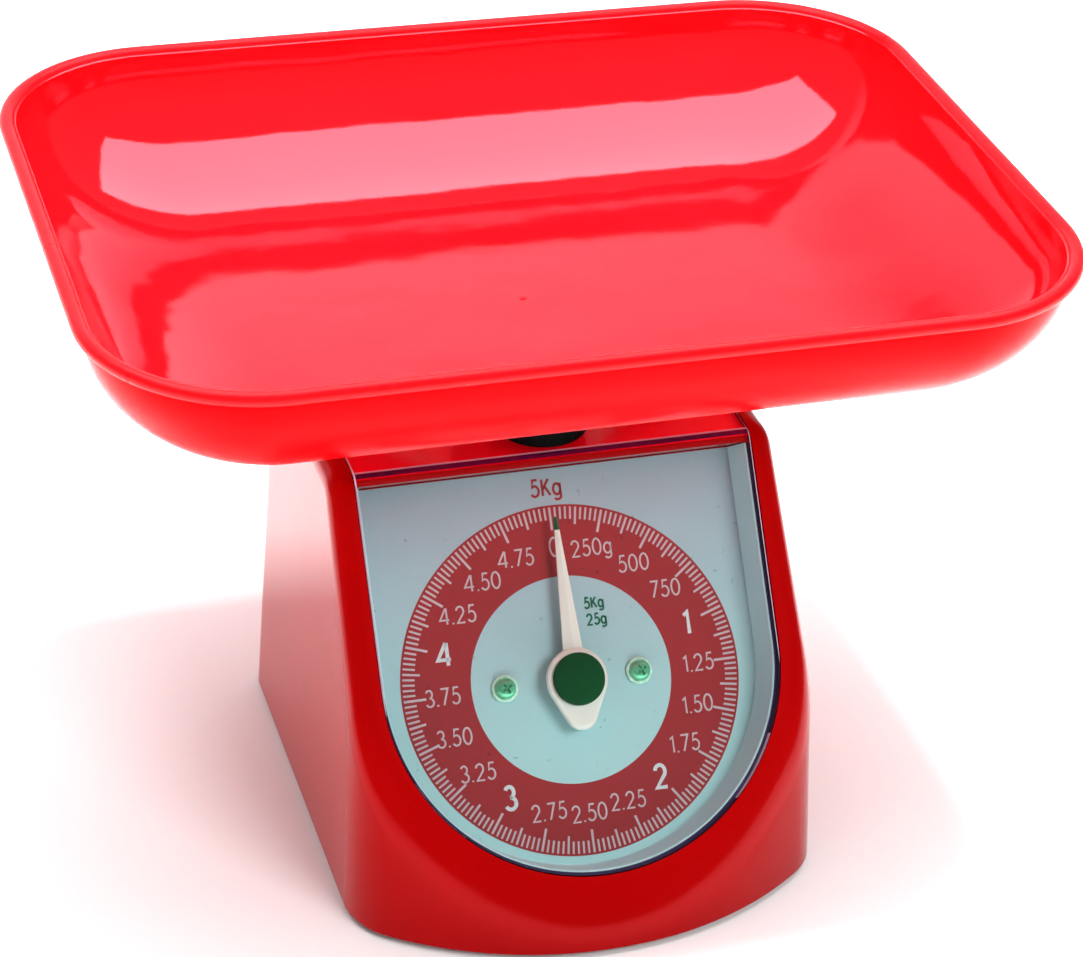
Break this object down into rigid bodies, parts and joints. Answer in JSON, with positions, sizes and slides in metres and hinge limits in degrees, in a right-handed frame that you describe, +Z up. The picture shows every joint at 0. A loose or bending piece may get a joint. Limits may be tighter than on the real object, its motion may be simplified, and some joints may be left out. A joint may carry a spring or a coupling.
{
  "type": "kitchen scale",
  "caption": "Mechanical kitchen scale with a tilted round dial, a red body and a lift-off rectangular pan.",
  "frame": {"origin": "on the table, under the middle of the bounding box", "axes": "+X right and +Z up for a person facing the dial, which faces -Y; the pan is longest along X"},
  "size_m": [0.2546, 0.2032, 0.1732],
  "materials": {
    "red_plastic": "gloss",
    "black_plastic": "satin",
    "rubber": "matte",
    "steel": "satin",
    "spring_steel": "satin",
    "plated_steel": "polished",
    "brass": "satin",
    "clear_plastic": "clear polished",
    "grey_plastic": "satin",
    "dial_card": "printed satin",
    "cream_plastic": "satin",
    "green_plastic": "gloss"
  },
  "bodies": {
    "housing": {"housing_shell": "red_plastic", "base_plate": "black_plastic", "foot_front_left": "rubber", "foot_rear_left": "rubber", "foot_front_right": "rubber", "foot_rear_right": "rubber", "base_screw_front_left": "steel", "base_screw_rear_left": "steel", "base_screw_front_right": "steel", "base_screw_rear_right": "steel", "chassis_screw_front_left": "steel", "chassis_screw_rear_left": "steel", "chassis_screw_front_right": "steel", "chassis_screw_rear_right": "steel", "lens": "clear_plastic", "dial_surround": "grey_plastic", "dial_plate": "dial_card", "dial_washer_left": "plated_steel", "dial_washer_right": "plated_steel", "dial_screw_left": "plated_steel", "dial_screw_right": "plated_steel", "movement_bracket": "steel", "front_bush": "brass", "rear_bush": "brass", "chassis": "steel", "stop_buffer": "rubber", "pivot_pin_upper": "steel", "pivot_pin_lower": "steel"},
    "platform": {"platform": "black_plastic", "stem_screw_left": "steel", "stem_screw_right": "steel", "carrier": "steel", "carrier_pin_upper": "steel", "carrier_pin_lower": "steel", "rack_arm": "brass", "spring_left": "spring_steel", "spring_right": "spring_steel"},
    "pan": {"pan": "red_plastic"},
    "pointer": {"pointer": "cream_plastic", "pointer_shaft": "steel", "pointer_cap": "green_plastic"},
    "upper_link": {"upper_link": "steel"},
    "lower_link": {"lower_link": "steel"},
    "zero_knob": {"zero_knob": "black_plastic", "zero_screw": "brass", "knob_clip": "steel"},
    "spring_hanger": {"spring_hanger": "steel"}
  },
  "joints": [
    {"name": "platform_slide", "type": "slide", "parent": "housing", "child": "platform", "axis": [0, 0, -1], "range_m": [0, 0.0124], "stiffness_N_per_m": 4090, "springref_m": -0.0018, "deforming": ["spring_left", "spring_right"]},
    {"name": "pan_lift", "type": "slide", "parent": "platform", "child": "pan", "axis": [0, 0, 1], "range_m": [0, 0.06]},
    {"name": "pointer_spin", "type": "hinge", "parent": "housing", "child": "pointer", "pos_m": [0, -0.05335, 0.0535], "axis": [0, 0.8117, -0.5841], "range_deg": [-0.1, 372.5]},
    {"name": "upper_link_hinge", "type": "hinge", "parent": "housing", "child": "upper_link", "pos_m": [0, 0.03465, 0.0735], "axis": [1, 0, 0], "range_deg": [-0.1, 23.88]},
    {"name": "lower_link_hinge", "type": "hinge", "parent": "housing", "child": "lower_link", "pos_m": [0, 0.03465, 0.0275], "axis": [1, 0, 0], "range_deg": [-0.1, 23.88]},
    {"name": "hanger_slide", "type": "slide", "parent": "housing", "child": "spring_hanger", "axis": [0, 0, 1], "range_m": [-0.00161, 0.00161]},
    {"name": "zero_turn", "type": "hinge", "parent": "housing", "child": "zero_knob", "pos_m": [0, -0.01565, 0.0535], "axis": [0, 0, 1], "range_deg": [-720, 720]}
  ],
  "couplings": [
    {"joint": "pointer_spin", "follows": "platform_slide", "rad_per_m": 523.6},
    {"joint": "upper_link_hinge", "follows": "platform_slide", "rad_per_m": 33.333},
    {"joint": "lower_link_hinge", "follows": "platform_slide", "rad_per_m": 33.333},
    {"joint": "hanger_slide", "follows": "zero_turn", "m_per_rad": -0.00012732}
  ]
}
